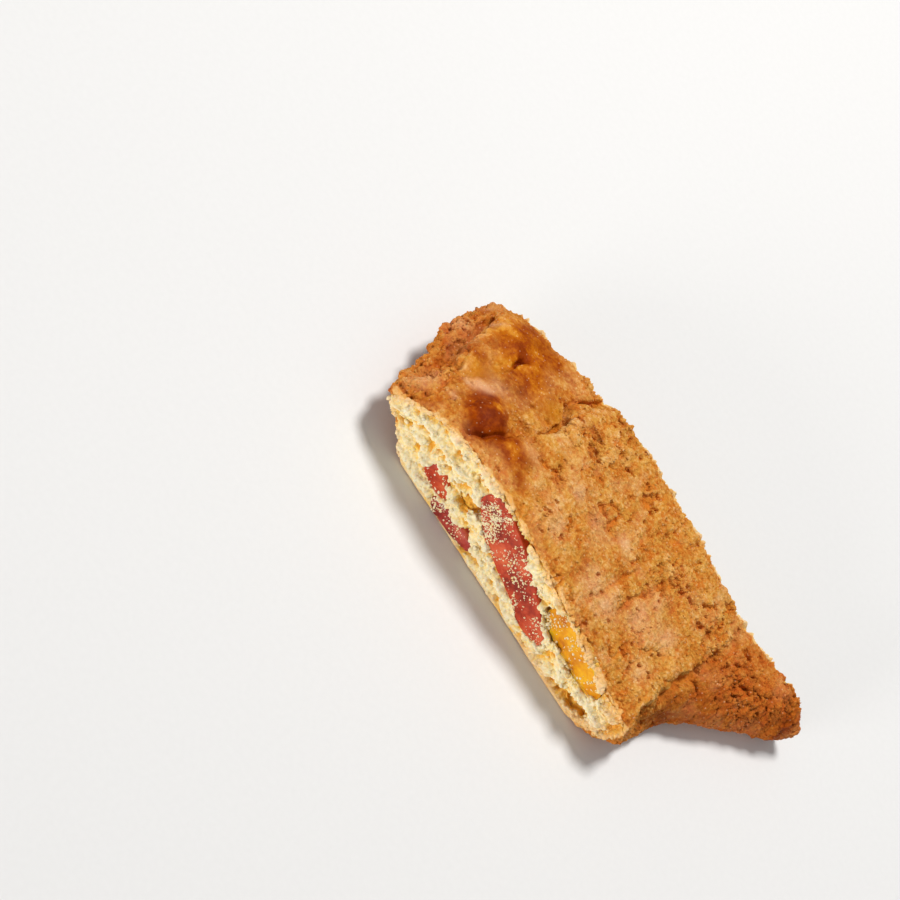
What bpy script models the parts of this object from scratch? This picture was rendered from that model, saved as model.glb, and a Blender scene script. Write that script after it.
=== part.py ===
"""A thick slice of twice-baked cookie with strips of candied fruit running through it.

The slice was cut across a flat baked log, so it has two crumb faces (front and
back), a browned crust over its top and both ends, and a flat base. X runs along
the slice, Y through its thickness from the front cut to the back cut, and Z up.
The origin is on the base, below the middle of the slice.
"""

import random
from math import cos, exp, pi, radians, sin, sqrt

import bmesh
import bpy
from mathutils import Vector, noise

MM = 0.001

# The cuts. The back one isn't quite parallel to the front one.
FRONT_Y = -20.0
BACK_Y = 17.0
BACK_SKEW = 0.06

# The crust seen from the front, from the left end's widest point over the top to
# the split near the right end: (x, z) at the front cut and at the back cut.
CREST_FRONT = [
    (-44.7, 7.4), (-41.4, 10.4), (-36.5, 13.9), (-28.5, 16.8),
    (-17.0, 17.4), (0.0, 14.9), (15.0, 12.1), (24.0, 11.4),
]
CREST_BACK = [
    (-46.4, 6.6), (-42.8, 9.6), (-37.0, 12.2), (-29.0, 13.8),
    (-14.0, 16.2), (0.0, 15.2), (15.0, 13.0), (24.8, 10.6),
]

# The left end swells between the cuts, more towards the back, and slopes in
# below its widest line.
END_SWELL = 3.9
END_SWELL_LATE = 1.55
END_REACH = 14.0
UNDERCUT_LENGTH = 11.5
UNDERCUT_ROUND = 1.0

# The right end spread on the tray. From the split down to the base, the end wall
# passes through these (x, z) points at each y: a wall below the lip in front, a
# flange with an undercut rim towards the back. The last one is its foot.
END_WALL = [
    (-20.0, [(25.6, 8.8), (24.0, 5.0), (21.6, 1.9), (18.2, 0.0)]),
    (-17.0, [(26.2, 8.4), (27.5, 5.6), (26.5, 2.4), (23.6, 0.0)]),
    (-12.5, [(25.0, 7.6), (26.4, 4.8), (28.0, 2.0), (27.2, 0.0)]),
    (-7.0, [(26.2, 8.0), (27.0, 5.2), (28.5, 2.0), (28.3, 0.0)]),
    (-3.0, [(28.4, 7.0), (29.0, 4.4), (29.9, 1.8), (29.6, 0.0)]),
    (1.0, [(28.0, 8.4), (33.2, 5.4), (32.0, 2.0), (30.8, 0.0)]),
    (5.0, [(30.6, 9.4), (35.4, 6.4), (36.4, 2.8), (34.0, 0.0)]),
    (9.0, [(31.4, 10.0), (37.0, 8.0), (39.6, 3.0), (37.4, 0.0)]),
    (15.0, [(32.4, 10.8), (40.2, 10.4), (45.0, 4.4), (43.2, 0.0)]),
    (20.0, [(33.2, 10.9), (41.4, 12.0), (48.0, 5.6), (47.4, 0.0)]),
]

# The base is hollowed by a hair, so that the slice stands on four spread spots.
BASE_LIFT = 0.15
STANDING_SPOTS = [(-29.0, -17.0), (15.0, -17.5), (43.0, 16.5), (-30.0, 12.0)]

# How finely the slice is drawn.
STATIONS = 17
TOP_STEPS = 40
WALL_STEPS = 10
BASE_STEPS = 30
UNDERCUT_STEPS = 6
VOXEL = 1.05
BODY_TRIANGLES = 9200

# The crust's relief: broad lumps, then swollen patches as (x, y, radius, height),
# folds as (line in plan, height of its +X side, how far that side takes to fall
# back) and cracks as (line in plan, depth, half width).
LUMP_SIZE = 13.0
LUMP_HEIGHT = 0.5
SWELLS = [
    (-36.0, 6.0, 6.5, 0.8),
    (-31.5, -10.5, 4.6, 0.6),
    (-23.5, -12.5, 5.0, 0.8),
    (-17.0, 8.0, 6.5, 0.7),
    (3.0, -4.0, 9.0, 0.4),
    (17.0, 4.0, 7.0, 0.5),
    (37.0, 15.0, 6.0, 0.5),
]
FOLDS = [
    ([(-40.1, -6.5), (-41.9, -3.9), (-42.1, -0.2), (-41.9, 4.9), (-43.4, 8.5), (-43.8, 13.0)], 1.3, 4.0),
    ([(-44.6, -16.5), (-43.6, -13.3), (-42.4, -8.7), (-40.1, -6.5)], 0.8, 3.0),
    ([(-26.0, -6.0), (-24.0, -3.3), (-22.5, 0.0), (-22.4, 5.0), (-21.5, 9.8), (-20.2, 16.0)], 1.2, 5.0),
]
CRACKS = [
    (
        [(-29.0, -7.6), (-25.6, -5.4), (-24.0, -3.3), (-22.9, -0.2), (-23.2, 4.6), (-22.0, 9.8), (-20.6, 16.0)],
        1.5, 0.9,
    ),
    ([(-43.6, -11.5), (-43.4, -6.6), (-44.4, -2.8), (-44.0, 1.0), (-44.4, 7.1), (-44.8, 12.0)], 1.5, 0.9),
    ([(-45.6, -12.0), (-47.0, -5.0), (-47.6, 1.0), (-47.2, 7.0)], 0.7, 0.8),
    ([(-38.6, -3.0), (-36.2, 0.4), (-35.5, 5.2), (-34.6, 10.9), (-33.6, 15.0)], 1.0, 0.8),
    ([(-34.6, -14.6), (-31.4, -16.0), (-28.6, -14.8), (-27.1, -12.0), (-26.9, -6.8)], 1.0, 0.8),
    (
        [(24.6, -17.0), (24.7, -11.0), (24.4, -4.4), (25.0, 0.7), (25.6, 6.3), (25.6, 10.3), (26.2, 18.0)],
        1.2, 1.0,
    ),
    ([(2.6, -13.5), (2.9, -9.0), (3.4, -6.0), (4.3, -3.5)], 0.6, 0.7),
    ([(8.8, -10.5), (7.5, -7.0), (8.8, -3.1), (9.4, 0.0), (9.0, 5.0)], 0.7, 0.7),
]

# The crumb's relief: flattened pores, seeded, and the grain over all of it.
PORES_A_FACE = 46
PORE_LENGTH = (2.2, 5.5)
PORE_FLATNESS = 0.42
PORE_DEPTH = (0.7, 1.7)
BIG_HOLLOWS = [(-20.6, 9.2, 7.0, 2.2, 2.2), (17.5, 3.4, 5.5, 2.8, 2.0)]
GRAIN_SIZE = 2.6
CRUMB_GRAIN = 0.30
CRUST_GRAIN = 0.16
CUT_DEPTH = 1.0

# The fruit: for each strip its middle (x, z), length, height and slope in
# degrees at the front cut, then the same at the back cut.
FRUIT = {
    "red_jelly_strip": ((-7.8, 9.2, 27.4, 6.3, -21.5), (-9.0, 8.4, 18.0, 5.8, -12.0)),
    "low_red_strip": ((-19.6, 2.2, 10.4, 2.6, 3.0), (-20.8, 2.6, 8.0, 2.4, 0.0)),
    "small_red_piece": ((-26.9, 5.5, 6.2, 3.4, -12.0), (-30.0, 7.2, 6.0, 3.4, 8.0)),
    "yellow_jelly_strip": ((9.2, 9.5, 16.8, 4.8, -11.0), (11.5, 6.8, 12.0, 4.6, 5.0)),
}
FRUIT_GAP = 0.3
FRUIT_SIDES = 20
FRUIT_SECTIONS = 8
FRUIT_SQUARENESS = 2.6
FRUIT_UNEVEN = 0.22
FRUIT_TAPER = 0.2
FRUIT_PROUD = {"red_jelly_strip": 0.25, "yellow_jelly_strip": -0.45}
BACK_PROUD = 0.2
CUTTER_REACH = 3.0

COLOURS = {
    "cookie_body": (0.58, 0.29, 0.09),
    "red_jelly_strip": (0.33, 0.045, 0.02),
    "low_red_strip": (0.28, 0.03, 0.02),
    "small_red_piece": (0.42, 0.08, 0.03),
    "yellow_jelly_strip": (0.66, 0.28, 0.01),
}
BODY_ROUGHNESS = 0.75
FRUIT_ROUGHNESS = 0.35


def clamp(value):
    return max(0.0, min(1.0, value))


def smooth_step(low, high, value):
    share = clamp((value - low) / (high - low))
    return share * share * (3 - 2 * share)


def mix(a, b, share):
    return a + (b - a) * share


def back_y(x):
    """The back cut's plane."""
    return BACK_Y + BACK_SKEW * x


def through_points(points, share):
    """A point on a smooth curve through the points, share of the way along it."""
    place = share * (len(points) - 1)
    i = min(int(place), len(points) - 2)
    s = place - i
    before = points[max(i - 1, 0)]
    after = points[min(i + 2, len(points) - 1)]
    a, b = points[i], points[i + 1]
    return tuple(
        b_k * s * s * (3 - 2 * s) + a_k * (1 - s * s * (3 - 2 * s))
        + 0.5 * (b_k - p_k) * s * (1 - s) ** 2
        - 0.5 * (n_k - a_k) * s * s * (1 - s)
        for p_k, a_k, b_k, n_k in zip(before, a, b, after)
    )


def end_wall(y):
    """The points of the right end's wall at y."""
    for (low, before), (high, after) in zip(END_WALL, END_WALL[1:]):
        if y <= high:
            break
    share = clamp((y - low) / (high - low))
    return [tuple(mix(a, b, share) for a, b in zip(p, q)) for p, q in zip(before, after)]


def section_outline(t):
    """The slice's outline in (x, z) at t of the way from front cut to back cut."""
    swell = END_SWELL * sin(pi * t ** END_SWELL_LATE)
    outline = []
    for k in range(TOP_STEPS + 1):
        xf, zf = through_points(CREST_FRONT, k / TOP_STEPS)
        xb, zb = through_points(CREST_BACK, k / TOP_STEPS)
        x, z = mix(xf, xb, t), mix(zf, zb, t)
        outline.append((x - swell * clamp((-31.0 - x) / END_REACH), z))
    left, lip = outline[0], outline[-1]

    wall = [lip] + end_wall(mix(FRONT_Y, back_y(40.0), t))
    for k in range(1, WALL_STEPS + 1):
        outline.append(through_points(wall, k / WALL_STEPS))
    outline[-1] = wall[-1]

    base_left = left[0] + UNDERCUT_LENGTH
    for k in range(1, BASE_STEPS + 1):
        outline.append((mix(wall[-1][0], base_left, k / BASE_STEPS), 0.0))
    for k in range(UNDERCUT_STEPS - 1, 0, -1):
        share = k / UNDERCUT_STEPS
        outline.append((left[0] + UNDERCUT_LENGTH * share, left[1] * (1 - share) ** UNDERCUT_ROUND))
    return outline


def lofted_slice():
    """The slice without its relief: one ring of points for each station, bridged and capped."""
    bm = bmesh.new()
    rings = []
    for k in range(STATIONS):
        t = k / (STATIONS - 1)
        outline = section_outline(t)
        verts = [bm.verts.new((x, mix(FRONT_Y, back_y(x), t), z)) for x, z in outline]
        edges = [bm.edges.new((a, b)) for a, b in zip(verts, verts[1:] + verts[:1])]
        if rings:
            bmesh.ops.bridge_loops(bm, edges=rings[-1] + edges)
        rings.append(edges)
    bmesh.ops.holes_fill(bm, edges=rings[0] + rings[-1], sides=0)
    bmesh.ops.recalc_face_normals(bm, faces=bm.faces)
    return bm


def mesh_object(name, bm):
    """An object made from a bmesh drawn in millimetres."""
    bmesh.ops.scale(bm, vec=(MM, MM, MM), verts=bm.verts)
    mesh = bpy.data.meshes.new(name)
    bm.to_mesh(mesh)
    bm.free()
    obj = bpy.data.objects.new(name, mesh)
    bpy.context.scene.collection.objects.link(obj)
    return obj


def apply_modifiers(obj):
    graph = bpy.context.evaluated_depsgraph_get()
    made = bpy.data.meshes.new_from_object(obj.evaluated_get(graph))
    obj.modifiers.clear()
    obj.data = made


def from_line(x, y, line):
    """Signed distance in plan from (x, y) to a line of points, positive on its
    +X side where it runs towards +Y, and the share of the way along it."""
    nearest, place = 1e9, 0.0
    spot = Vector((x, y))
    for k, (a, b) in enumerate(zip(line, line[1:])):
        a, b = Vector(a), Vector(b)
        run = b - a
        share = clamp((spot - a).dot(run) / run.length_squared)
        distance = (spot - a - run * share).length
        if distance < abs(nearest):
            right = (spot - a).x * run.y - (spot - a).y * run.x
            nearest = distance if right > 0 else -distance
            place = (k + share) / (len(line) - 1)
    return nearest, place


def ends_fade(place):
    return smooth_step(0.0, 0.15, place) * smooth_step(1.0, 0.85, place)


def crust_relief(p):
    """Height of the crust above the smooth loaf at p: lumps, swollen patches, folds and cracks."""
    height = LUMP_HEIGHT * noise.noise(p / LUMP_SIZE + Vector((3.1, 7.7, 1.3)))
    for x, y, radius, rise in SWELLS:
        away = ((p.x - x) ** 2 + (p.y - y) ** 2) / radius ** 2
        height += rise * exp(-1.6 * away)
    wander = 0.9 * noise.noise_vector(p / 4.5)
    x, y = p.x + wander.x, p.y + wander.y
    for line, rise, width in FOLDS:
        distance, place = from_line(x, y, line)
        if -1.0 < distance < 3 * width:
            face = smooth_step(-0.6, 0.6, distance) * exp(-max(distance, 0) / width)
            height += rise * ends_fade(place) * face
    for line, depth, half_width in CRACKS:
        distance, place = from_line(x, y, line)
        if abs(distance) < 3 * half_width:
            height -= depth * mix(0.4, 1.0, ends_fade(place)) * exp(-(distance / half_width) ** 2)
    height += CRUST_GRAIN * noise.fractal(p / GRAIN_SIZE, 1.0, 2.0, 2)
    return height


def face_pores(seed, left, right):
    """Pores of one cut face as (x, z, half length, half height, depth), largest first."""
    draw = random.Random(seed)
    pores = []
    for k in range(PORES_A_FACE):
        half = 0.5 * mix(PORE_LENGTH[1], PORE_LENGTH[0], sqrt(k / PORES_A_FACE))
        x = draw.uniform(left, right)
        z = draw.uniform(1.2, 15.5)
        depth = draw.uniform(*PORE_DEPTH) * half / (0.5 * PORE_LENGTH[1])
        pores.append((x, z, half, half * PORE_FLATNESS, depth))
    return pores


def crumb_relief(p, pores):
    """Height of the crumb above the cut's plane at p."""
    height = CRUMB_GRAIN * noise.fractal(p / GRAIN_SIZE + Vector((0, 9.0, 0)), 1.0, 2.0, 2)
    for x, z, half_length, half_height, depth in pores:
        away = ((p.x - x) / half_length) ** 2 + ((p.z - z) / half_height) ** 2
        if away < 1.6:
            height -= depth * exp(-2.2 * away * away)
    return height


def carve(obj):
    """Moves each point of the fine loaf along its normal by the crust's or the crumb's relief."""
    front_pores = face_pores(5, -41.0, 22.0)
    front_pores += [(x, z, a / 2, b / 2, d) for x, z, a, b, d in BIG_HOLLOWS]
    back_pores = face_pores(11, -42.0, 44.0)
    bm = bmesh.new()
    bm.from_mesh(obj.data)
    bmesh.ops.scale(bm, vec=(1 / MM, 1 / MM, 1 / MM), verts=bm.verts)
    bm.normal_update()
    moves = {}
    for v in bm.verts:
        p, n = v.co, v.normal
        front = smooth_step(CUT_DEPTH, 0.2, p.y - FRONT_Y) * smooth_step(-0.35, -0.8, n.y)
        back = smooth_step(CUT_DEPTH, 0.2, back_y(p.x) - p.y) * smooth_step(0.35, 0.8, n.y)
        above_base = smooth_step(0.3, 2.5, p.z)
        rise = front * crumb_relief(p, front_pores) + back * crumb_relief(p, back_pores)
        rise += (1 - front - back) * crust_relief(p)
        moves[v] = n * rise * above_base
    for v, move in moves.items():
        v.co += move
        v.co.z = max(v.co.z, 0.0)
        if v.co.z < 0.3:
            v.co.z = 0.0
    bmesh.ops.scale(bm, vec=(MM, MM, MM), verts=bm.verts)
    bm.to_mesh(obj.data)
    bm.free()


def stand_on_spots(obj):
    """Lifts the base by a hair, apart from the points nearest to the standing spots."""
    base = [v for v in obj.data.vertices if v.co.z < 0.3 * MM]
    for v in base:
        v.co.z = BASE_LIFT * MM
    for x, y in STANDING_SPOTS:
        nearest = min(base, key=lambda v: (v.co.x - x * MM) ** 2 + (v.co.y - y * MM) ** 2)
        nearest.co.z = 0.0


def cookie_body():
    """The baked dough: the lofted slice, drawn finely, carved, and thinned again."""
    body = mesh_object("cookie_body", lofted_slice())
    remesh = body.modifiers.new("fine skin", "REMESH")
    remesh.mode = "VOXEL"
    remesh.voxel_size = VOXEL * MM
    apply_modifiers(body)
    carve(body)
    body.data.calc_loop_triangles()
    thin = body.modifiers.new("fewer triangles", "DECIMATE")
    thin.ratio = BODY_TRIANGLES / len(body.data.loop_triangles)
    thin.use_collapse_triangulate = True
    apply_modifiers(body)
    stand_on_spots(body)
    return body


def strip_section(size, grow, turn_seed, place):
    """One rounded, uneven section of a fruit strip as (x, z) points."""
    middle_x, middle_z, length, height, slope = size
    along = Vector((cos(radians(slope)), sin(radians(slope))))
    across = Vector((-along.y, along.x))
    points = []
    for k in range(FRUIT_SIDES):
        angle = 2 * pi * k / FRUIT_SIDES
        c, s = cos(angle), sin(angle)
        power = 2 / FRUIT_SQUARENESS
        a = (abs(c) ** power) * (1 if c > 0 else -1)
        b = (abs(s) ** power) * (1 if s > 0 else -1)
        uneven = FRUIT_UNEVEN * noise.noise(Vector((2.0 * c + turn_seed, 2.0 * s, place)))
        taper = 1 - FRUIT_TAPER * a
        half_height = height / 2 * (taper + uneven) + grow
        half_length = length / 2 * (1 + 0.3 * uneven) + grow
        spot = Vector((middle_x, middle_z)) + along * a * half_length + across * b * half_height
        points.append(spot)
    return points


def fruit_strip(name, seed, grow=0.0, reach=0.0):
    """A strip of candied fruit from cut to cut. A cutter is the same strip, grown and longer."""
    front, back = FRUIT[name]
    proud = FRUIT_PROUD.get(name, 0.0)
    places = [(k / (FRUIT_SECTIONS - 1), 0.0) for k in range(FRUIT_SECTIONS)]
    if reach:
        places = [(0.0, -reach)] + places + [(1.0, reach)]
    bm = bmesh.new()
    rings = []
    for t, beyond in places:
        size = [mix(a, b, t) for a, b in zip(front, back)]
        verts = []
        for x, z in strip_section(size, grow, seed, 1.7 * t):
            y = mix(FRONT_Y - proud, back_y(x) + BACK_PROUD, t) + beyond
            verts.append(bm.verts.new((x, y, z)))
        edges = [bm.edges.new((a, b)) for a, b in zip(verts, verts[1:] + verts[:1])]
        if rings:
            bmesh.ops.bridge_loops(bm, edges=rings[-1] + edges)
        rings.append(edges)
    bmesh.ops.holes_fill(bm, edges=rings[0] + rings[-1], sides=0)
    bmesh.ops.recalc_face_normals(bm, faces=bm.faces)
    return mesh_object(name + ("_cutter" if grow else ""), bm)


def cut_channel(body, cutter):
    cutter.hide_render = True
    cutter.display_type = "WIRE"
    channel = body.modifiers.new(cutter.name, "BOOLEAN")
    channel.operation = "DIFFERENCE"
    channel.solver = "EXACT"
    channel.object = cutter


def paint(obj, colour, roughness):
    material = bpy.data.materials.new(obj.name)
    material.use_nodes = True
    surface = material.node_tree.nodes["Principled BSDF"]
    surface.inputs["Base Color"].default_value = (*colour, 1.0)
    surface.inputs["Roughness"].default_value = roughness
    surface.inputs["Metallic"].default_value = 0.0
    obj.data.materials.clear()
    obj.data.materials.append(material)


def centre_over_base(body):
    """Moves everything so that the origin is under the middle of the slice."""
    bpy.context.view_layer.update()
    corners = [body.matrix_world @ Vector(corner) for corner in body.bound_box]
    middle = sum(corners, Vector()) / 8
    for obj in bpy.data.objects:
        obj.location.x -= middle.x
        obj.location.y -= middle.y


def build():
    for obj in list(bpy.data.objects):
        bpy.data.objects.remove(obj)
    body = cookie_body()
    paint(body, COLOURS["cookie_body"], BODY_ROUGHNESS)
    for seed, name in enumerate(FRUIT):
        strip = fruit_strip(name, seed)
        paint(strip, COLOURS[name], FRUIT_ROUGHNESS)
        cut_channel(body, fruit_strip(name, seed, FRUIT_GAP, CUTTER_REACH))
    centre_over_base(body)


build()
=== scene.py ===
# A slice of twice-baked cookie with candied fruit, lying on its base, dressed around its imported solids.

from math import cos, radians, sin

import bmesh
import bpy
import numpy as np
from mathutils import Matrix, Vector, kdtree, noise


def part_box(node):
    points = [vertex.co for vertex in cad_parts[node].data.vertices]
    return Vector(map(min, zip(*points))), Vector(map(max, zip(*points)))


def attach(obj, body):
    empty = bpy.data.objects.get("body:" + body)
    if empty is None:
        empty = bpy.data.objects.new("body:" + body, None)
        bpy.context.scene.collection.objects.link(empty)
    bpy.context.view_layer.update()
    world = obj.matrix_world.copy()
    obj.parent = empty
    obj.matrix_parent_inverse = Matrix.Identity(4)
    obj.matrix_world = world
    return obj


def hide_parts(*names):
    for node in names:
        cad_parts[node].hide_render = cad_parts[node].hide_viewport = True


mm = 0.001
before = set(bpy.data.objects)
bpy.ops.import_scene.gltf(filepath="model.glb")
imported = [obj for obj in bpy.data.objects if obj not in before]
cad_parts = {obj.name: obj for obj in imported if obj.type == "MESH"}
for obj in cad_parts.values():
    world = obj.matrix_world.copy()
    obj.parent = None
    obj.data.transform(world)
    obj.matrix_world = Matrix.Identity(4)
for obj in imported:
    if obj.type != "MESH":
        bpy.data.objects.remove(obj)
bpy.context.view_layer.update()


def linear(hexColour, alpha=1.0):
    parts = [int(hexColour[i:i + 2], 16) / 255 for i in (1, 3, 5)]
    return (*[c / 12.92 if c <= 0.04045 else ((c + 0.055) / 1.055) ** 2.4 for c in parts], alpha)


# adds one node: inputs are values or sockets to link from, stops are a ramp's (place, hex colour)
def addNode(material, kind, inputs=None, stops=None, **settings):
    tree = material.node_tree
    node = tree.nodes.new("ShaderNode" + kind)
    for key, value in settings.items():
        setattr(node, key, value)
    for key, value in (inputs or {}).items():
        if isinstance(value, bpy.types.NodeSocket):
            tree.links.new(value, node.inputs[key])
        else:
            node.inputs[key].default_value = value
    if stops:
        ramp = node.color_ramp.elements
        while len(ramp) < len(stops):
            ramp.new(0.5)
        for element, (place, colour) in zip(ramp, stops):
            element.position = place
            element.color = linear(colour)
    return node


def newMaterial(name):
    material = bpy.data.materials.new(name)
    material.use_nodes = True
    material.node_tree.nodes.clear()
    return material


def smoothStep(low, high, value):
    share = np.clip((value - low) / (high - low), 0.0, 1.0)
    return share * share * (3 - 2 * share)


def mix(a, b, share):
    return a + (b - a) * share


def meshPoints(mesh):
    points = np.empty(len(mesh.vertices) * 3)
    mesh.vertices.foreach_get("co", points)
    return points.reshape(-1, 3) / mm


def meshNormals(mesh):
    normals = np.empty(len(mesh.vertices) * 3)
    mesh.vertex_normals.foreach_get("vector", normals)
    return normals.reshape(-1, 3)


def movePoints(mesh, points):
    mesh.vertices.foreach_set("co", (points * mm).ravel())
    mesh.update()


def storeValue(mesh, name, values):
    layer = mesh.attributes.new(name, "FLOAT", "POINT")
    layer.data.foreach_set("value", np.ascontiguousarray(values, dtype=np.float32))


# soft noise from -1 to 1 at each point, with features about size mm across
def grainOf(points, size, seed, octaves=1):
    scaled = points / size + np.array([seed * 7.31, seed * 3.77, seed * 5.13])
    if octaves == 1:
        return np.array([noise.noise(p) for p in map(Vector, scaled)])
    return np.array([noise.fractal(p, 1.0, 2.0, octaves) for p in map(Vector, scaled)])


# distance to the middle of the nearest cell and the gap to the next one, in cell sizes
def cellsOf(points, size, seed, stretch=(1, 1, 1)):
    scaled = points / (size * np.array(stretch)) + np.array([seed * 2.17, seed * 9.41, seed * 4.03])
    found = [noise.voronoi(p)[0] for p in map(Vector, scaled)]
    found = np.array([(d[0], d[1]) for d in found])
    return found[:, 0], found[:, 1] - found[:, 0]


# round granules packed against each other, from -0.7 in the gaps to 0.3 on top
def granulesOf(points, size, seed):
    near, gap = cellsOf(points, size, seed)
    dome = np.sqrt(np.clip(1 - (near / 0.8) ** 2, 0, 1))
    return dome * smoothStep(-0.05, 0.22, gap) - 0.7


# signed distance in plan to a line of points, positive on its +X side, and the place along it
def fromLine(x, y, line):
    nearest = np.full(x.shape, 1e9)
    side = np.ones(x.shape)
    place = np.zeros(x.shape)
    for k, (a, b) in enumerate(zip(line, line[1:])):
        runX, runY = b[0] - a[0], b[1] - a[1]
        share = np.clip(((x - a[0]) * runX + (y - a[1]) * runY) / (runX ** 2 + runY ** 2), 0, 1)
        away = np.hypot(x - a[0] - runX * share, y - a[1] - runY * share)
        closer = away < nearest
        right = (x - a[0]) * runY - (y - a[1]) * runX > 0
        nearest = np.where(closer, away, nearest)
        side = np.where(closer, np.where(right, 1.0, -1.0), side)
        place = np.where(closer, (k + share) / (len(line) - 1), place)
    return nearest * side, place


# how strongly named spots (x, y, radius, strength) act at each point in plan
def spotsAt(x, y, spots):
    total = np.zeros(x.shape)
    for spotX, spotY, radius, strength in spots:
        total += strength * np.exp(-1.1 * ((x - spotX) ** 2 + (y - spotY) ** 2) / radius ** 2)
    return total


# a merged copy of a CAD node, as a bmesh
def copyOfNode(name):
    bm = bmesh.new()
    bm.from_mesh(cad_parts[name].data)
    bmesh.ops.remove_doubles(bm, verts=bm.verts, dist=0.01 * mm)
    return bm


def newObject(name, bm):
    mesh = bpy.data.meshes.new(name)
    bm.to_mesh(mesh)
    bm.free()
    obj = bpy.data.objects.new(name, mesh)
    bpy.context.scene.collection.objects.link(obj)
    return obj


def voxelSkin(obj, size):
    remesh = obj.modifiers.new("even skin", "REMESH")
    remesh.mode = "VOXEL"
    remesh.voxel_size = size * mm
    graph = bpy.context.evaluated_depsgraph_get()
    made = bpy.data.meshes.new_from_object(obj.evaluated_get(graph))
    obj.modifiers.clear()
    obj.data = made


# the fruit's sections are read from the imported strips
fruitNames = ["red_jelly_strip", "low_red_strip", "small_red_piece", "yellow_jelly_strip"]
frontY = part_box("cookie_body")[0].y / mm + 0.25


def backY(x):
    return 17.13 + 0.06 * (x - 0.73)


# the (x, z) outline of a strip at its front or back end, in order round its middle
def sectionOf(name, atFront):
    points = meshPoints(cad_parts[name].data)
    depth = points[:, 1] if atFront else backY(points[:, 0]) + 5 - points[:, 1]
    ring = np.unique(points[depth < depth.min() + 0.7][:, [0, 2]].round(3), axis=0)
    middle = ring.mean(axis=0)
    order = np.argsort(np.arctan2(ring[:, 1] - middle[1], ring[:, 0] - middle[0]))
    return ring[order]


# how far inside a closed outline each (x, z) point is, in mm, negative outside
def insideOutline(x, z, outline):
    nearest = np.full(x.shape, 1e9)
    inside = np.zeros(x.shape, dtype=bool)
    for a, b in zip(outline, np.roll(outline, -1, axis=0)):
        runX, runZ = b - a
        share = np.clip(((x - a[0]) * runX + (z - a[1]) * runZ) / max(runX ** 2 + runZ ** 2, 1e-9), 0, 1)
        nearest = np.minimum(nearest, np.hypot(x - a[0] - runX * share, z - a[1] - runZ * share))
        if runZ:
            crosses = (a[1] > z) != (b[1] > z)
            inside ^= crosses & (x < a[0] + runX * (z - a[1]) / runZ)
    return np.where(inside, nearest, -nearest)


# each pair is the size across and the height or depth, in mm
dough = {
    "voxel": 0.50,
    "pocket": 1000,                     # a closed shell with fewer points than this is a stray pocket
    "stripSwell": 0.5,                  # how far the dough's filler for a strip reaches past the strip
    "triangles": 192000,
    "frontCuts": 2,
    "crustLumps": (4.5, 0.45),
    "crags": (2.0, 0.75),
    "bigGranules": (1.3, 0.50),
    "clods": (2.6, 0.65),
    "fineGranules": (0.8, 0.24),
    "furrows": (1.5, 0.70),
    "crustPits": (1.7, 0.80),
    "fissures": (3.4, 0.28),
    "plates": (5.5, 0.65),              # smoother patches in the dry crust, and how much smoother
    "crumbTorn": (1.9, 1.15),
    "tornStretch": (0.6, 1.0, 1.0),
    "crumbGranules": (1.0, 0.52),
    "crumbGrit": (0.50, 0.12),
    "pores": (3.1, 1.5),
    "poreStretch": (2.1, 1.0, 1.25),    # pores lie flat along the slice
    "tornPore": 0.8,                    # how deep the deepest torn places go
    "reliefTop": 17.1,                  # relief that rises past this height is halved
    "cutDepth": 3.4,                    # how far in from a cut its hollows and fruit channels go
    "fruitRecess": 1.5,
    "fruitEdge": 0.35,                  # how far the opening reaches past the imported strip
}

# cracks in the crust: (line in plan, depth, half width), in mm
crustCracks = [
    ([(-32.8, -16.2), (-30.8, -16.6), (-29.0, -15.1), (-27.6, -13.5), (-26.4, -10.8), (-26.0, -8.1),
      (-25.7, -5.4)], 0.8, 0.45),
    ([(-25.7, -5.4), (-23.6, -4.4), (-22.5, -2.2), (-21.8, -0.4), (-22.0, 2.7), (-23.4, 5.1), (-24.2, 8.2),
      (-22.8, 10.2), (-21.0, 13.5), (-20.3, 16.5)], 1.1, 0.55),
    ([(-43.8, -13.9), (-42.8, -12.6), (-42.6, -7.7), (-42.6, -5.4), (-43.3, -1.8), (-43.1, 0.1), (-43.3, 4.0),
      (-44.0, 10.0)], 1.0, 0.5),
    ([(-39.9, -17.6), (-38.9, -14.8), (-38.9, -12.3), (-39.4, -9.5)], 0.6, 0.4),
    ([(-46.3, -1.0), (-46.9, 0.6), (-47.5, 3.2), (-47.2, 8.0)], 0.8, 0.45),
    ([(-45.6, -9.0), (-44.9, -5.0), (-45.0, -1.5)], 0.6, 0.4),
    ([(-35.0, 1.8), (-35.0, 3.4), (-34.6, 5.3)], 1.2, 0.5),
    ([(3.6, -13.3), (4.0, -10.6), (4.5, -7.7), (4.9, -4.1), (5.5, -0.2)], 0.5, 0.35),
    ([(9.3, -9.5), (8.3, -5.5), (9.2, -2.5), (10.2, -0.3), (10.3, 2.0), (9.8, 3.7)], 0.6, 0.4),
    ([(14.3, -15.4), (14.1, -13.0), (14.0, -10.1)], 0.45, 0.35),
    ([(25.8, -8.1), (25.6, -3.8), (26.0, 1.0), (26.9, 7.2), (27.0, 12.2), (26.9, 16.1)], 0.9, 0.6),
]
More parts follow.
